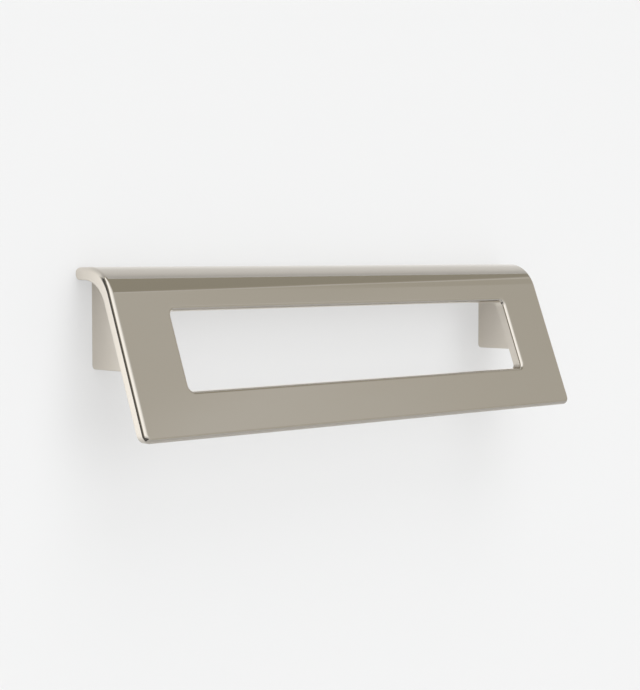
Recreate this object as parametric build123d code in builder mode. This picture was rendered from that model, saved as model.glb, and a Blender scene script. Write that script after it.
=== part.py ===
"""Flap pull: a one-piece die-cast cabinet pull in plated zinc.

A flat lip comes straight out from the mounting plane, bends down in a round shoulder and runs on as a
tilted plate with a long window through it. Two posts behind the plate stand on the mounting plane, and
each has a blind threaded hole for a machine screw driven from the back of the door or drawer front.

Frame: millimetres. The origin is midway between the two screw-hole mouths, on the mounting plane y = 0.
X runs along the pull, the plate faces -Y and Z is up.
"""

from build123d import *
import math
import os

os.makedirs("parts", exist_ok=True)

# The whole pull
pull_length = 176.6  # end to end, along X; 160 mm between the screw holes follows from it
overall_height = 45.9  # top of the lip down to the lower edge
overall_projection = 30.6  # mounting plane out to the lower edge, before that edge is rounded
wall = 3.6  # thickness of lip and plate
plate_tilt = 21.5  # degrees between the plate and the vertical
outer_bend_radius = 11.0  # shoulder, on the show side
inner_bend_radius = 9.5  # shoulder, on the hidden side

# Edges and corners
rim_radius = 1.3  # rounding of the show-side edge, up both ends and along the bottom
window_rim_radius = 1.2  # the same edge round the window
back_edge_radius = 0.4  # rounding of the hidden-side edges
lip_end_radius = 1.7  # upper and lower rounding of the lip at the mounting plane, all but a full round
lower_corner_radius = 2.2  # lower corners of the plate, seen from the front

# Window through the plate, cut straight along Y
window_to_post = 7.6  # end of the window to the nearer side of the post beside it
window_height = 21.2
window_drop = 12.2  # top of the lip down to the top of the window
window_corner_radius = 1.5

# Posts
end_overhang = 8.3  # axis of a post and its screw hole to the end of the plate
post_width = 6.0  # along X
post_reach = 28.0  # top of the lip down to the underside of the posts
post_corner_radius = 1.3  # lower corner at the mounting plane
post_edge_radius = 0.4  # long edges of the underside
root_radius = 0.6  # where the posts run into the lip, the shoulder and the plate

# Blind holes, tapped for an M4 screw
hole_drop = 16.0  # top of the lip down to the hole's axis
tap_drill_diameter = 3.3
thread_depth = 10.0  # full depth of the cylinder, measured from the mounting plane
mouth_diameter = 4.3  # chamfer that clears the thread's crest
drill_point_angle = 118.0

# Widths, heights and slopes that follow from them
hole_pitch = pull_length - 2 * end_overhang
window_width = hole_pitch - post_width - 2 * window_to_post
lip_top = hole_drop
lip_underside = lip_top - wall
lip_middle = lip_top - wall / 2
lower_edge = lip_top - overall_height
post_underside = lip_top - post_reach
tilt = math.radians(plate_tilt)
wall_along_y = wall / math.cos(tilt)


def front_y(height):
    """Y of the plate's show side at a height, on the line before any rounding."""
    return (height - lower_edge) * math.tan(tilt) - overall_projection


def back_y(height):
    return front_y(height) + wall_along_y


def middle_y(height):
    return front_y(height) + wall_along_y / 2


def flat_faces(builder, way):
    """Flat faces that look mostly along -Y (way = -1) or +Y (way = 1), the largest first."""
    flat = builder.faces().filter_by(GeomType.PLANE)
    return flat.filter_by(lambda face: way * face.normal_at().Y > 0.5).sort_by(SortBy.AREA, reverse=True)


def corner_waste(height, way, radius):
    """What a rounding along X takes off at the mounting plane: way is 1 on an upper corner, -1 on a lower."""
    with BuildSketch(Plane.YZ) as waste:
        with BuildLine():
            arc = CenterArc((-radius, height - way * radius), radius, 0, way * 90)
            Polyline(
                arc @ 1,
                (-radius, height + way * radius),
                (radius, height + way * radius),
                (radius, height - way * radius),
                arc @ 0,
            )
        make_face()
    return waste.sketch


with BuildPart() as pull_body:
    # Lip, shoulder and plate as one bent section
    outer_corner = (front_y(lip_top), lip_top)
    inner_corner = (back_y(lip_underside), lip_underside)
    with BuildSketch(Plane.YZ) as section:
        with BuildLine():
            Polyline(
                (0, lip_top),
                outer_corner,
                (front_y(lower_edge), lower_edge),
                (back_y(lower_edge), lower_edge),
                inner_corner,
                (0, lip_underside),
                close=True,
            )
        make_face()
        fillet(section.vertices().sort_by_distance(outer_corner)[0], outer_bend_radius)
        fillet(section.vertices().sort_by_distance(inner_corner)[0], inner_bend_radius)
    extrude(amount=pull_length / 2, both=True)

    # Lower corners of the plate, round about the Y direction
    fillet(pull_body.edges().filter_by(Axis.Y).group_by(Axis.Z)[0], lower_corner_radius)

    # Window, straight through along Y
    with BuildSketch(Plane.XZ) as window:
        with Locations((0, lip_top - window_drop - window_height / 2)):
            RectangleRounded(window_width, window_height, window_corner_radius)
    extrude(amount=2 * overall_projection, mode=Mode.SUBTRACT)

    # Show-side rim, up both ends and along the lower edge in one run, then round the window
    fillet(flat_faces(pull_body, -1)[0].outer_wire().edges().sort_by(Axis.Z)[0], rim_radius)
    fillet(flat_faces(pull_body, -1)[0].inner_wires()[0].edges(), window_rim_radius)

    # Hidden-side edges, the same two runs
    fillet(flat_faces(pull_body, 1)[0].outer_wire().edges().sort_by(Axis.Z)[0], back_edge_radius)
    fillet(flat_faces(pull_body, 1)[0].inner_wires()[0].edges(), back_edge_radius)

    # Posts, from the middle of the wall back to the mounting plane
    post_corner = (middle_y(lip_middle), lip_middle)
    with BuildSketch(*[Plane.YZ.offset(way * hole_pitch / 2) for way in (-1, 1)]) as post_section:
        with BuildLine():
            Polyline(
                (0, lip_middle),
                post_corner,
                (middle_y(post_underside), post_underside),
                (0, post_underside),
                close=True,
            )
        make_face()
        fillet(
            post_section.vertices().sort_by_distance(post_corner)[0],
            (outer_bend_radius + inner_bend_radius) / 2,
        )
    extrude(amount=post_width / 2, both=True)

    # Small roundings of the posts: the long edges underneath, then the roots in one run round each post
    def on_post_side(edge):
        return abs(abs(abs(edge.center().X) - hole_pitch / 2) - post_width / 2) < 0.01

    fillet(pull_body.edges().filter_by(on_post_side).filter_by(Axis.Y).group_by(Axis.Z)[0], post_edge_radius)
    roots = pull_body.edges().filter_by(on_post_side).filter_by(Axis.Y).group_by(Axis.Z)[-1]
    fillet(roots, root_radius)

    # Roundings along X at the mounting plane; the lip's lower one leaves the posts alone
    extrude(corner_waste(lip_top, 1, lip_end_radius), pull_length, both=True, mode=Mode.SUBTRACT)
    between_posts = hole_pitch - post_width - 2 * root_radius
    lip_waste = corner_waste(lip_underside, -1, lip_end_radius)
    extrude(lip_waste, between_posts / 2, both=True, mode=Mode.SUBTRACT)
    post_waste = corner_waste(post_underside, -1, post_corner_radius)
    extrude(post_waste, pull_length, both=True, mode=Mode.SUBTRACT)
    for way in (-1, 1):
        outer_start = way * (hole_pitch + post_width + 2 * root_radius) / 2
        outer_waste = lip_waste.moved(Location((outer_start, 0, 0)))
        extrude(outer_waste, way * pull_length, mode=Mode.SUBTRACT)

    # Threaded holes: mouth chamfer, cylinder at the tap drill's size and the drill's point
    drill_radius = tap_drill_diameter / 2
    mouth_radius = mouth_diameter / 2
    drill_point = drill_radius / math.tan(math.radians(drill_point_angle / 2))
    for way in (-1, 1):
        axis_x = way * hole_pitch / 2
        with BuildSketch(Plane.XY) as hole_section:
            with BuildLine():
                Polyline(
                    (axis_x, 0),
                    (axis_x + mouth_radius, 0),
                    (axis_x + drill_radius, drill_radius - mouth_radius),
                    (axis_x + drill_radius, -thread_depth),
                    (axis_x, -thread_depth - drill_point),
                    close=True,
                )
            make_face()
        revolve(axis=Axis((axis_x, 0, 0), (0, 1, 0)), mode=Mode.SUBTRACT)

pull_body.part.label = "pull_body"
export_step(pull_body.part, "parts/pull_body.step")
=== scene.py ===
"""Flap pull in polished nickel plate: the casting with its threads, the pale wall behind it that sweeps into
a floor, and the studio that the metal mirrors.

Metres throughout. X runs along the pull, the plate faces -Y and Z is up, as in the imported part.
"""

import math

import bpy
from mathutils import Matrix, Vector


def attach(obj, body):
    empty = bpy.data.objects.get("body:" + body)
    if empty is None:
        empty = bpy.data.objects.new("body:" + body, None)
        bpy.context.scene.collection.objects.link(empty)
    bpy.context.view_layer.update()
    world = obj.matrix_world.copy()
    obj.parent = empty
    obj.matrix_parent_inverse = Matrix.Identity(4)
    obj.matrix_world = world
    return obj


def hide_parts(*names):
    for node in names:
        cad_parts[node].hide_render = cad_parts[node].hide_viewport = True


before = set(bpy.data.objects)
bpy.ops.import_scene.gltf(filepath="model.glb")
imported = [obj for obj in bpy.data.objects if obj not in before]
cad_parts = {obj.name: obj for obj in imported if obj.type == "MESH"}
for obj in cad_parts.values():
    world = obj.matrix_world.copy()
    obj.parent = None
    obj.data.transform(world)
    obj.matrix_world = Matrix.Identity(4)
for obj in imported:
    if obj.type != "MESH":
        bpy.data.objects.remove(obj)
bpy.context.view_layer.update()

MM = 0.001

# Sizes of the casting that its finish and its threads follow
lip_top = 16.0 * MM
lower_edge = -29.9 * MM
overall_projection = 30.6 * MM  # mounting plane out to the lower edge, before that edge is rounded
plate_tilt = math.radians(21.5)
plate_outward = Vector((0.0, -math.cos(plate_tilt), math.sin(plate_tilt)))  # square to the plate's show side
hole_pitch = 160.0 * MM
tap_drill_radius = 1.65 * MM

# M4 thread, a groove from inside the mouth's chamfer to just short of the drill's point
thread_pitch = 0.7 * MM
thread_depth = 0.35 * MM  # so the groove's floor lies at 4 mm diameter
thread_length = 9.0 * MM
thread_inner_end = -9.6 * MM  # along Y
groove_mouth = 0.86  # width at the hole's wall, as a share of the pitch
groove_floor = 0.125  # width at its floor, as a share of the pitch
cutter_overlap = 0.04 * MM  # how far the cutter starts inside the hole, to go cleanly through its wall
steps_a_turn = 32


def linear(hex_colour):
    """An sRGB hex colour as Blender's linear red, green, blue and alpha."""
    parts = [int(hex_colour[i : i + 2], 16) / 255 for i in (1, 3, 5)]
    return [c / 12.92 if c <= 0.04045 else ((c + 0.055) / 1.055) ** 2.4 for c in parts] + [1.0]


def add(tree, kind, inputs=None, **settings):
    """A node with its settings. Each input is a plain value, or an output of another node to link to."""
    node = tree.nodes.new(kind)
    for name, value in settings.items():
        setattr(node, name, value)
    for socket, value in (inputs or {}).items():
        if isinstance(value, bpy.types.NodeSocket):
            tree.links.new(value, node.inputs[socket])
        else:
            node.inputs[socket].default_value = value
    return node


def new_object(name, data):
    made = bpy.data.objects.new(name, data)
    bpy.context.scene.collection.objects.link(made)
    return made


def evaluated_mesh(thing):
    """What the object looks like with its modifiers, as a plain mesh."""
    seen = thing.evaluated_get(bpy.context.evaluated_depsgraph_get())
    return bpy.data.meshes.new_from_object(seen)


# Threads


def thread_tree(material):
    """Cutters for the threads of both screw holes: a tapering ridge that winds along each hole's wall."""
    tree = bpy.data.node_groups.new("thread cuts", "GeometryNodeTree")
    sizes = (
        ("Pitch", thread_pitch),
        ("Thread depth", thread_depth),
        ("Thread length", thread_length),
        ("Wall radius", tap_drill_radius),
        ("Hole pitch", hole_pitch),
    )
    for name, value in sizes:
        socket = tree.interface.new_socket(name, in_out="INPUT", socket_type="NodeSocketFloat")
        socket.default_value = value
    tree.interface.new_socket("Cuts", in_out="OUTPUT", socket_type="NodeSocketGeometry")
    given = add(tree, "NodeGroupInput").outputs

    # Section of the ridge, wide at the wall and narrow at its tip, turned to point outwards
    height = add(tree, "ShaderNodeMath", {0: given["Thread depth"], 1: cutter_overlap}, operation="ADD")
    foot_width = add(tree, "ShaderNodeMath", {0: given["Pitch"], 1: groove_mouth}, operation="MULTIPLY")
    tip_width = add(tree, "ShaderNodeMath", {0: given["Pitch"], 1: groove_floor}, operation="MULTIPLY")
    section = add(
        tree,
        "GeometryNodeCurvePrimitiveQuadrilateral",
        {
            "Height": height.outputs[0],
            "Bottom Width": foot_width.outputs[0],
            "Top Width": tip_width.outputs[0],
            "Offset": 0.0,
        },
        mode="TRAPEZOID",
    )
    outward = add(
        tree,
        "GeometryNodeTransform",
        {"Geometry": section.outputs[0], "Rotation": (0.0, 0.0, -math.pi / 2)},
    )

    # A winding along Z at the ridge's mid radius
    turns = add(tree, "ShaderNodeMath", {0: given["Thread length"], 1: given["Pitch"]}, operation="DIVIDE")
    half_height = add(tree, "ShaderNodeMath", {0: height.outputs[0], 1: 0.5}, operation="MULTIPLY")
    foot = add(tree, "ShaderNodeMath", {0: given["Wall radius"], 1: cutter_overlap}, operation="SUBTRACT")
    radius = add(tree, "ShaderNodeMath", {0: foot.outputs[0], 1: half_height.outputs[0]}, operation="ADD")
    winding = add(
        tree,
        "GeometryNodeCurveSpiral",
        {
            "Resolution": steps_a_turn,
            "Rotations": turns.outputs[0],
            "Start Radius": radius.outputs[0],
            "End Radius": radius.outputs[0],
            "Height": given["Thread length"],
        },
    )
    upright = add(tree, "GeometryNodeSetCurveNormal", {"Curve": winding.outputs[0]}, mode="Z_UP")
    ridge = add(
        tree,
        "GeometryNodeCurveToMesh",
        {"Curve": upright.outputs[0], "Profile Curve": outward.outputs[0], "Fill Caps": True},
    )

    # Laid along Y, from the inner end out to the mouth, and one for each hole
    laid = add(
        tree,
        "GeometryNodeTransform",
        {
            "Geometry": ridge.outputs[0],
            "Translation": (0.0, thread_inner_end, 0.0),
            "Rotation": (-math.pi / 2, 0.0, 0.0),
        },
    )
    to_left = add(tree, "ShaderNodeMath", {0: given["Hole pitch"], 1: -0.5}, operation="MULTIPLY")
    start = add(tree, "ShaderNodeCombineXYZ", {"X": to_left.outputs[0]})
    step = add(tree, "ShaderNodeCombineXYZ", {"X": given["Hole pitch"]})
    holes = add(
        tree,
        "GeometryNodeMeshLine",
        {"Count": 2, "Start Location": start.outputs[0], "Offset": step.outputs[0]},
    )
    placed = add(
        tree,
        "GeometryNodeInstanceOnPoints",
        {"Points": holes.outputs[0], "Instance": laid.outputs[0]},
    )
    real = add(tree, "GeometryNodeRealizeInstances", {"Geometry": placed.outputs[0]})
    finished = add(tree, "GeometryNodeSetMaterial", {"Geometry": real.outputs[0], "Material": material})
    add(tree, "NodeGroupOutput", {0: finished.outputs[0]})
    return tree


def thread_cutters(material):
    """The cutters as one plain object."""
    cutters = new_object("thread_cuts", bpy.data.meshes.new("thread_cuts"))
    cutters.modifiers.new("thread cuts", "NODES").node_group = thread_tree(material)
    mesh = evaluated_mesh(cutters)
    cutters.modifiers.clear()
    cutters.data = mesh
    return cutters


# Finish of the metal


def polished_nickel_plate():
    """Nickel plate over zinc, buffed bright on the show side and the edges.

    It mirrors its surroundings with a warm grey cast. What a buffing wheel can't reach behind the plate keeps
    the soft gloss of the plating bath.
    """
    buffed_down_to = 3.0 * MM  # below the show side
    unbuffed_from = 5.0 * MM
    noise_low = 0.3  # nearly all of a noise lies between these
    noise_high = 0.7
    bath_roughness = 0.19
    swell_height = 0.0012 * MM
    grain_width = 2.0 / 3.0 * MM  # the real grain is finer and wouldn't show
    grain_height = 0.004 * MM

    material = bpy.data.materials.new("polished nickel plate")
    material.use_nodes = True
    tree = material.node_tree
    shader = tree.nodes["Principled BSDF"]
    shader.inputs["Metallic"].default_value = 1.0
    place = add(tree, "ShaderNodeTexCoord").outputs["Object"]

    # Depth below the show side: behind the plate's face, or under the lip's top, whichever is less
    axes = add(tree, "ShaderNodeSeparateXYZ", {0: place}).outputs
    face_level = plate_outward.dot(Vector((0.0, -overall_projection, lower_edge)))
    along_out = add(tree, "ShaderNodeVectorMath", {0: place, 1: plate_outward}, operation="DOT_PRODUCT")
    behind = add(tree, "ShaderNodeMath", {0: face_level, 1: along_out.outputs["Value"]}, operation="SUBTRACT")
    under = add(tree, "ShaderNodeMath", {0: lip_top, 1: axes["Z"]}, operation="SUBTRACT")
    depth = add(tree, "ShaderNodeMath", {0: behind.outputs[0], 1: under.outputs[0]}, operation="MINIMUM")
    unbuffed = add(
        tree,
        "ShaderNodeMapRange",
        {"Value": depth.outputs[0], "From Min": buffed_down_to, "From Max": unbuffed_from},
        interpolation_type="SMOOTHSTEP",
    ).outputs[0]

    # Patterns, with their length along the pull, their width across it and their detail: soft patches where
    # the wheel dwelt, hairlines of the last buffing, and swells of the cast surface under the plating. Real
    # hairlines are finer than 0.4 mm and wouldn't show.
    patterns = {}
    for name, length, width, detail in (
        ("patches", 40.0 * MM, 11.1 * MM, 3.0),
        ("hairlines", 33.3 * MM, 0.4 * MM, 2.0),
        ("swells", 14.3 * MM, 9.1 * MM, 1.0),
    ):
        scale = (1.0 / length, 1.0 / width, 1.0 / width)
        drawn_out = add(tree, "ShaderNodeMapping", {"Vector": place, "Scale": scale}).outputs[0]
        noise = add(tree, "ShaderNodeTexNoise", {"Vector": drawn_out, "Scale": 1.0, "Detail": detail})
        patterns[name] = noise.outputs[0]

    # Roughness: patches and hairlines together where it is buffed
    parts = []
    for name, low, high in (("patches", 0.05, 0.08), ("hairlines", -0.008, 0.012)):
        part = add(
            tree,
            "ShaderNodeMapRange",
            {
                "Value": patterns[name],
                "From Min": noise_low,
                "From Max": noise_high,
                "To Min": low,
                "To Max": high,
            },
        )
        parts.append(part.outputs[0])
    buffed = add(tree, "ShaderNodeMath", {0: parts[0], 1: parts[1]}, operation="ADD")
    roughness = add(
        tree,
        "ShaderNodeMix",
        {"Factor": unbuffed, "A": buffed.outputs[0], "B": bath_roughness},
        data_type="FLOAT",
    )
    tree.links.new(roughness.outputs[0], shader.inputs["Roughness"])

    # The plate's colour warms very slightly from patch to patch
    tone = add(
        tree,
        "ShaderNodeMix",
        {"Factor": patterns["patches"], 6: linear("#D2CCC3"), 7: linear("#CFC8BD")},
        data_type="RGBA",
    )
    tree.links.new(tone.outputs[2], shader.inputs["Base Color"])

    # Surface: the swells all over, and a fine grain where it isn't buffed
    swell = add(
        tree,
        "ShaderNodeBump",
        {"Strength": 1.0, "Distance": swell_height, "Height": patterns["swells"]},
    )
    grain = add(tree, "ShaderNodeTexNoise", {"Vector": place, "Scale": 1.0 / grain_width, "Detail": 2.0})
    fine = add(
        tree,
        "ShaderNodeBump",
        {
            "Strength": unbuffed,
            "Distance": grain_height,
            "Height": grain.outputs[0],
            "Normal": swell.outputs[0],
        },
    )
    tree.links.new(fine.outputs[0], shader.inputs["Normal"])
    return material


# Casting


def true_normals(mesh):
    """Gives each face corner the normal of the surface that the casting has there.

    A flat face keeps its own all over, and a rounding turns smoothly into it, so that a mirror finish shows
    neither facets nor a wave beside an edge.
    """
    flat_ways = (Vector((1, 0, 0)), Vector((0, 1, 0)), Vector((0, 0, 1)), plate_outward)
    nearly_level = math.cos(math.radians(0.3))
    one_surface = math.cos(math.radians(40.0))
    normals = [face.normal.copy() for face in mesh.polygons]
    flat = [any(abs(normal.dot(way)) > nearly_level for way in flat_ways) for normal in normals]
    areas = [face.area for face in mesh.polygons]

    # Faces round each vertex, weighted by their angle there and their area
    around = [[] for _ in mesh.vertices]
    for face in mesh.polygons:
        corners = list(face.vertices)
        for i, corner in enumerate(corners):
            here = mesh.vertices[corner].co
            before = mesh.vertices[corners[i - 1]].co - here
            after = mesh.vertices[corners[(i + 1) % len(corners)]].co - here
            around[corner].append((face.index, before.angle(after, 0.0) * areas[face.index]))

    result = []
    for face in mesh.polygons:
        own = normals[face.index]
        for corner in face.vertices:
            if flat[face.index]:
                result.append(own)
                continue
            beside = [(i, weight) for i, weight in around[corner] if normals[i].dot(own) > one_surface]
            levels = [i for i, _ in beside if flat[i]]
            if levels:
                result.append(normals[max(levels, key=lambda i: normals[i].dot(own))])
            else:
                total = Vector()
                for i, weight in beside:
                    total += normals[i] * weight
                result.append(total.normalized() if total.length > 0 else own)
    mesh.shade_smooth()
    mesh.normals_split_custom_set([tuple(normal) for normal in result])


def threaded_casting(node, name, material):
    """The CAD node's mesh with its loose triangles joined along their edges and the threads cut in."""
    merging_distance = 0.0005 * MM
    mesh = node.data.copy()
    mesh.materials.clear()
    mesh.materials.append(material)
    made = new_object(name, mesh)
    made.modifiers.new("weld", "WELD").merge_threshold = merging_distance
    cutters = thread_cutters(material)
    threads = made.modifiers.new("threads", "BOOLEAN")
    threads.operation = "DIFFERENCE"
    threads.solver = "EXACT"
    threads.object = cutters
    cut = evaluated_mesh(made)
    made.modifiers.clear()
    made.data = cut
    bpy.data.objects.remove(cutters)
    true_normals(cut)
    return made


casting = threaded_casting(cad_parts["pull_body"], "casting", polished_nickel_plate())
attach(casting, "root")
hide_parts("pull_body")


# Stage: a pale wall behind the pull that sweeps into a pale floor


def sweep_mesh():
    """The wall and the floor as one sheet, joined by a wide bend well below the pull."""
    half_width = 2.2
    top = 2.0
    floor_level = -0.55
    floor_reach = -2.5
    bend_radius = 0.35
    bend_steps = 24
    side = [(0.0, top), (0.0, floor_level + bend_radius)]
    for i in range(1, bend_steps + 1):
        turn = i / bend_steps * math.pi / 2
        out = bend_radius * (math.cos(turn) - 1)
        side.append((out, floor_level + bend_radius * (1 - math.sin(turn))))
    side.append((floor_reach, floor_level))
    points = []
    for y, z in side:
        points += [(-half_width, y, z), (half_width, y, z)]
    faces = [(2 * i, 2 * i + 2, 2 * i + 3, 2 * i + 1) for i in range(len(side) - 1)]
    mesh = bpy.data.meshes.new("sweep")
    mesh.from_pydata(points, [], faces)
    mesh.update()
    mesh.shade_smooth()
    return mesh


def matt_board_with_painted_reflections():
    """Matt pale board that glows a little of its own, as an evenly lit one looks in a bright picture.

    In the metal it shows painted reflections: a paler copy of its colour, most so level with the pull, a
    painted glow that is strongest level with the pull and to its left, and a painted dark wedge further left.
    From behind it isn't there, and whatever looks through it sees the pull and the studio as if it were gone.
    """
    camera_glow = 0.495
    painted_glow_fall = 2.5  # power by which the painted glow in the metal falls away from the pull's level
    wedge_below = 0.5  # how far the painted dark wedge's side leans left for each metre under its tip, level with the lip
    wedge_above = 0.6  # the same over its tip

    material = bpy.data.materials.new("matt board with painted reflections")
    material.use_nodes = True
    tree = material.node_tree
    tree.nodes.clear()
    place = add(tree, "ShaderNodeTexCoord").outputs["Object"]
    axes = add(tree, "ShaderNodeSeparateXYZ", {0: place}).outputs
    path = add(tree, "ShaderNodeLightPath").outputs
    wedge_sides = []
    for lean in (-wedge_below, wedge_above):
        leant = add(tree, "ShaderNodeMath", {0: axes["Z"], 1: lean, 2: axes["X"]}, operation="MULTIPLY_ADD")
        wedge_sides.append(leant.outputs[0])

    # Fades over the board: what each follows, from where to where, and its values there
    fade = {}
    for name, follows, start, end, low, high, course in (
        ("over the lip", axes["Z"], 13.0 * MM, 25.0 * MM, 0.0, 1.0, "LINEAR"),
        ("high above", axes["Z"], 15.0 * MM, 125.0 * MM, 0.0, 1.0, "LINEAR"),
        ("below", axes["Z"], -30.0 * MM, -100.0 * MM, 0.0, 1.0, "LINEAR"),
        # painted reflections: the glow in the metal along the pull, and the dark wedge's two sides
        ("painted glow along", axes["X"], -106.0 * MM, -88.0 * MM, 0.62, 0.32, "SMOOTHSTEP"),
        ("wedge below its tip", wedge_sides[0], -109.0 * MM, -106.5 * MM, 1.0, 0.0, "SMOOTHSTEP"),
        ("wedge above its tip", wedge_sides[1], -98.0 * MM, -88.0 * MM, 1.0, 0.0, "SMOOTHSTEP"),
    ):
        ramp = add(
            tree,
            "ShaderNodeMapRange",
            {"Value": follows, "From Min": start, "From Max": end, "To Min": low, "To Max": high},
            interpolation_type=course,
        )
        fade[name] = ramp.outputs[0]

    # Painted reflection: glossy rays see the board paler than its plain grey, most so level with the pull
    off_plate = add(tree, "ShaderNodeMath", {0: fade["over the lip"], 1: fade["below"]}, operation="MAXIMUM")
    painted_reflection_tone = add(
        tree,
        "ShaderNodeMix",
        {"Factor": off_plate.outputs[0], 6: linear("#D0D0D0"), 7: linear("#B7B7B7")},
        data_type="RGBA",
    )
    tone = add(
        tree,
        "ShaderNodeMix",
        {"Factor": path["Is Glossy Ray"], 6: linear("#9B9B9B"), 7: painted_reflection_tone.outputs[2]},
        data_type="RGBA",
    )
    board = add(tree, "ShaderNodeBsdfDiffuse", {"Color": tone.outputs[2], "Roughness": 0.0})

    # Painted light in the metal: the board's glow there is strong level with the pull and to its left, weak
    # high above it and far below; other rays see an even glow
    off_level = add(tree, "ShaderNodeMath", {0: fade["high above"], 1: fade["below"]}, operation="MAXIMUM")
    near_level = add(tree, "ShaderNodeMath", {0: 1.0, 1: off_level.outputs[0]}, operation="SUBTRACT")
    painted_level_glow = add(tree, "ShaderNodeMath", {0: near_level.outputs[0], 1: painted_glow_fall}, operation="POWER")
    painted_reflection_glow = add(
        tree,
        "ShaderNodeMath",
        {0: fade["painted glow along"], 1: painted_level_glow.outputs[0]},
        operation="MULTIPLY",
    )
    glow = add(
        tree,
        "ShaderNodeMix",
        {"Factor": path["Is Glossy Ray"], "A": camera_glow, "B": painted_reflection_glow.outputs[0]},
        data_type="FLOAT",
    )
    glowing = add(tree, "ShaderNodeEmission", {"Color": linear("#FFFFFF"), "Strength": glow.outputs[0]})
    lit = add(tree, "ShaderNodeAddShader", {0: board.outputs[0], 1: glowing.outputs[0]})

    # Painted dark reflection: a dark wedge on the board, which only the metal sees
    wedge = add(
        tree,
        "ShaderNodeMath",
        {0: fade["wedge below its tip"], 1: fade["wedge above its tip"]},
        operation="MINIMUM",
    )
    in_painted_wedge = add(
        tree,
        "ShaderNodeMath",
        {0: wedge.outputs[0], 1: path["Is Glossy Ray"]},
        operation="MULTIPLY",
    )
    painted_dark_reflection = add(tree, "ShaderNodeEmission", {"Color": linear("#616161"), "Strength": 1.0})
    front = add(tree, "ShaderNodeMixShader", {0: in_painted_wedge.outputs[0], 1: lit.outputs[0], 2: painted_dark_reflection.outputs[0]})

    # Nothing of it from behind, nor for a ray that has come through it
    back = add(tree, "ShaderNodeNewGeometry").outputs["Backfacing"]
    passed = add(tree, "ShaderNodeMath", {0: path["Transparent Depth"], 1: 0.5}, operation="GREATER_THAN")
    gone = add(tree, "ShaderNodeMath", {0: back, 1: passed.outputs[0]}, operation="MAXIMUM")
    clear = add(tree, "ShaderNodeBsdfTransparent")
    surface = add(tree, "ShaderNodeMixShader", {0: gone.outputs[0], 1: front.outputs[0], 2: clear.outputs[0]})
    add(tree, "ShaderNodeOutputMaterial", {"Surface": surface.outputs[0]})
    return material


sweep = new_object("sweep", sweep_mesh())
sweep.data.materials.append(matt_board_with_painted_reflections())


# Studio that the metal mirrors and that lights the wall


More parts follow.
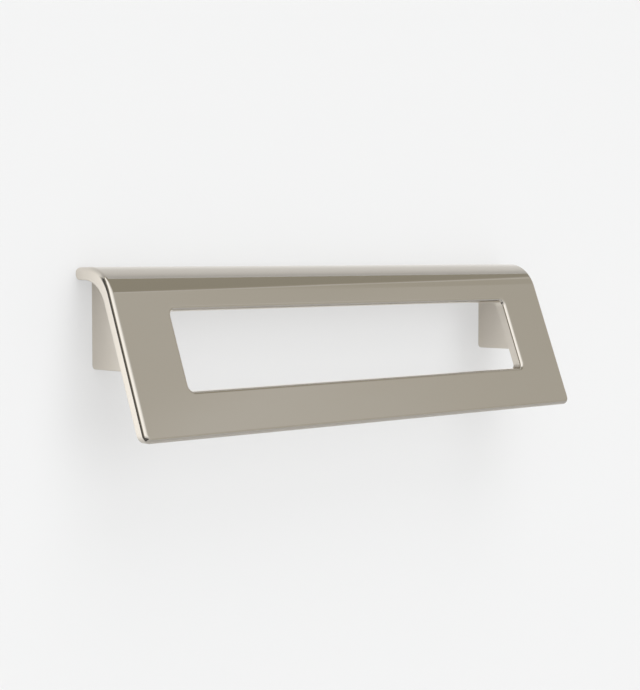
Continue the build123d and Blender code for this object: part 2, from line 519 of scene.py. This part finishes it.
def studio():
    """The room and its lights by direction, in degrees: azimuth from +X towards +Y, and elevation.

    The camera stands at azimuth -134, and in its view the plate mirrors what lies to its right, about -46.
    """
    line_drop = 1.2  # the thin line of light lies this far under the room's brink
    low_lamp_azimuth = -76.0
    overhead_elevation = math.radians(58.0)
    overhead_outer = math.cos(math.radians(25.0))  # where the round lamp's edge starts
    overhead_inner = math.cos(math.radians(17.0))  # where it is at its full strength

    world = bpy.data.worlds.new("studio")
    world.use_nodes = True
    tree = world.node_tree
    tree.nodes.clear()
    path = add(tree, "ShaderNodeLightPath").outputs
    way = add(tree, "ShaderNodeTexCoord").outputs["Generated"]
    axes = add(tree, "ShaderNodeSeparateXYZ", {0: way}).outputs
    turn = add(tree, "ShaderNodeMath", {0: axes["Y"], 1: axes["X"]}, operation="ARCTAN2")
    azimuth = add(tree, "ShaderNodeMath", {0: turn.outputs[0]}, operation="DEGREES").outputs[0]
    rise = add(tree, "ShaderNodeMath", {0: axes["Z"]}, operation="ARCSINE")
    elevation = add(tree, "ShaderNodeMath", {0: rise.outputs[0]}, operation="DEGREES").outputs[0]

    # Height over the room's brink, which rises towards the wall, and distance from the line under it
    brink = add(
        tree,
        "ShaderNodeMapRange",
        {"Value": azimuth, "From Min": -44.0, "From Max": -29.0, "To Min": 34.2, "To Max": 37.8},
    )
    over_brink = add(tree, "ShaderNodeMath", {0: elevation, 1: brink.outputs[0]}, operation="SUBTRACT")
    over_line = add(tree, "ShaderNodeMath", {0: over_brink.outputs[0], 1: line_drop}, operation="ADD")
    off_line = add(tree, "ShaderNodeMath", {0: over_line.outputs[0]}, operation="ABSOLUTE").outputs[0]

    # Distances from the middles of the two lamps, the overhead one's as a cosine
    past_lamp = add(tree, "ShaderNodeMath", {0: azimuth, 1: low_lamp_azimuth}, operation="SUBTRACT")
    off_lamp = add(tree, "ShaderNodeMath", {0: past_lamp.outputs[0]}, operation="ABSOLUTE").outputs[0]
    to_overhead = (0.0, -math.cos(overhead_elevation), math.sin(overhead_elevation))
    overhead = add(tree, "ShaderNodeVectorMath", {0: way, 1: to_overhead}, operation="DOT_PRODUCT")

    # Fades over the studio: what each follows, from where to where, and its values there
    fade = {}
    for name, follows, start, end, low, high in (
        ("room", azimuth, -44.0, -30.0, 0.60, 0.52),
        ("room's pale part", elevation, 26.3, 28.5, 1.09, 1.0),
        ("room's foot", elevation, 5.0, 22.0, 0.88, 1.0),
        ("line", off_line, 0.2, 1.0, 0.8, 0.0),
        ("dim over the brink", over_brink.outputs[0], -0.4, 0.4, 0.0, 1.0),
        ("dim to the right", azimuth, -80.0, -42.0, 0.0, 1.0),
        ("large light", azimuth, -166.0, -156.0, 0.35, 1.5),
        ("large light's foot", elevation, 4.0, 22.0, 0.55, 1.0),
        ("left to right", azimuth, -130.0, -48.0, 0.0, 1.0),
        ("low lamp's sides", off_lamp, 8.0, 22.0, 1.0, 0.0),
        ("low lamp's foot", elevation, -16.0, -4.0, 0.0, 1.0),
        ("low lamp's top", elevation, 24.0, 36.0, 1.0, 0.0),
        ("overhead lamp", overhead.outputs["Value"], overhead_outer, overhead_inner, 0.0, 1.0),
        ("behind the wall", elevation, -30.0, 60.0, 0.45, 0.95),
    ):
        ramp = add(
            tree,
            "ShaderNodeMapRange",
            {"Value": follows, "From Min": start, "From Max": end, "To Min": low, "To Max": high},
            interpolation_type="SMOOTHSTEP",
        )
        fade[name] = ramp.outputs[0]

    # Fades that work together, multiplied
    for name, first, second in (
        ("room's light", "room", "room's pale part"),
        ("room's light", "room's light", "room's foot"),
        ("dim", "dim over the brink", "dim to the right"),
        ("left", "large light", "large light's foot"),
        ("low lamp's heights", "low lamp's foot", "low lamp's top"),
        ("low lamp", "low lamp's sides", "low lamp's heights"),
    ):
        product = add(tree, "ShaderNodeMath", {0: fade[first], 1: fade[second]}, operation="MULTIPLY")
        fade[name] = product.outputs[0]
    is_behind = add(tree, "ShaderNodeMath", {0: axes["Y"], 1: 0.0}, operation="GREATER_THAN").outputs[0]

    # Light by place:
    # - right of the camera a grey room, dim above its brink, with a thin line of light along it
    # - left of the camera one large bright light, which ends short of the wall and is weaker near the floor
    # - before the pull a low soft lamp, which shines under the plate
    # - over the camera a round soft lamp, whose light comes through the window and leaves the lip's shadow
    # - behind the wall, for views from there, an even grey with a lighter sky
    # - past the wall, for the camera, a plain pale ground
    light = {
        "room": fade["room's light"],
        "line": 0.70,
        "dim": 0.385,
        "left": fade["left"],
        "low lamp": 3.0,
        "overhead lamp": 3.5,
        "behind": fade["behind the wall"],
        "ground": 0.90,
    }

    # Each mixed from two of them by a mask. Screens hide both lamps from the metal, so that its face doesn't
    # burn out in any view.
    for name, mask, under, over in (
        ("lined room", fade["line"], "room", "line"),
        ("right", fade["dim"], "lined room", "dim"),
        ("sides", fade["left to right"], "left", "right"),
        ("one lamp", fade["low lamp"], "sides", "low lamp"),
        ("both lamps", fade["overhead lamp"], "one lamp", "overhead lamp"),
        ("front", path["Is Glossy Ray"], "both lamps", "sides"),
        ("mirrored", is_behind, "front", "behind"),
        ("all", path["Is Camera Ray"], "mirrored", "ground"),
    ):
        mix = add(
            tree,
            "ShaderNodeMix",
            {"Factor": mask, "A": light[under], "B": light[over]},
            data_type="FLOAT",
        )
        light[name] = mix.outputs[0]

    # Warm where it is dim and neutral where it is bright
    brightness = add(
        tree,
        "ShaderNodeMapRange",
        {"Value": light["all"], "From Min": 0.3, "From Max": 0.9},
        interpolation_type="SMOOTHSTEP",
    )
    tint = add(
        tree,
        "ShaderNodeMix",
        {"Factor": brightness.outputs[0], 6: linear("#FFFAE8"), 7: linear("#FDFEFF")},
        data_type="RGBA",
    )
    background = add(tree, "ShaderNodeBackground", {"Color": tint.outputs[2], "Strength": light["all"]})
    add(tree, "ShaderNodeOutputWorld", {"Surface": background.outputs[0]})
    return world


bpy.context.scene.world = studio()
bpy.context.scene.view_settings.view_transform = "Standard"


# Camera at the photograph's place, upright, turned to the pull's middle and tipped slightly down

camera_place = (-0.3625, -0.380, 0.0195)
turned = 0.766  # from straight at the wall towards +X, in radians
tipped = 0.053  # down from level
focal_length = 1720.25  # in pixels of the photograph
picture_height = 690.0  # in pixels, its longer side
sensor_width = 36.0  # in millimetres

forward = Vector((math.sin(turned), math.cos(turned), -math.tan(tipped))).normalized()
camera_data = bpy.data.cameras.new("camera")
camera_data.sensor_width = sensor_width
camera_data.lens = focal_length * sensor_width / picture_height
camera_data.clip_start = 0.01
camera_data.clip_end = 50.0
camera = new_object("camera", camera_data)
camera.location = camera_place
camera.rotation_mode = "QUATERNION"
camera.rotation_quaternion = forward.to_track_quat("-Z", "Y")
bpy.context.scene.camera = camera
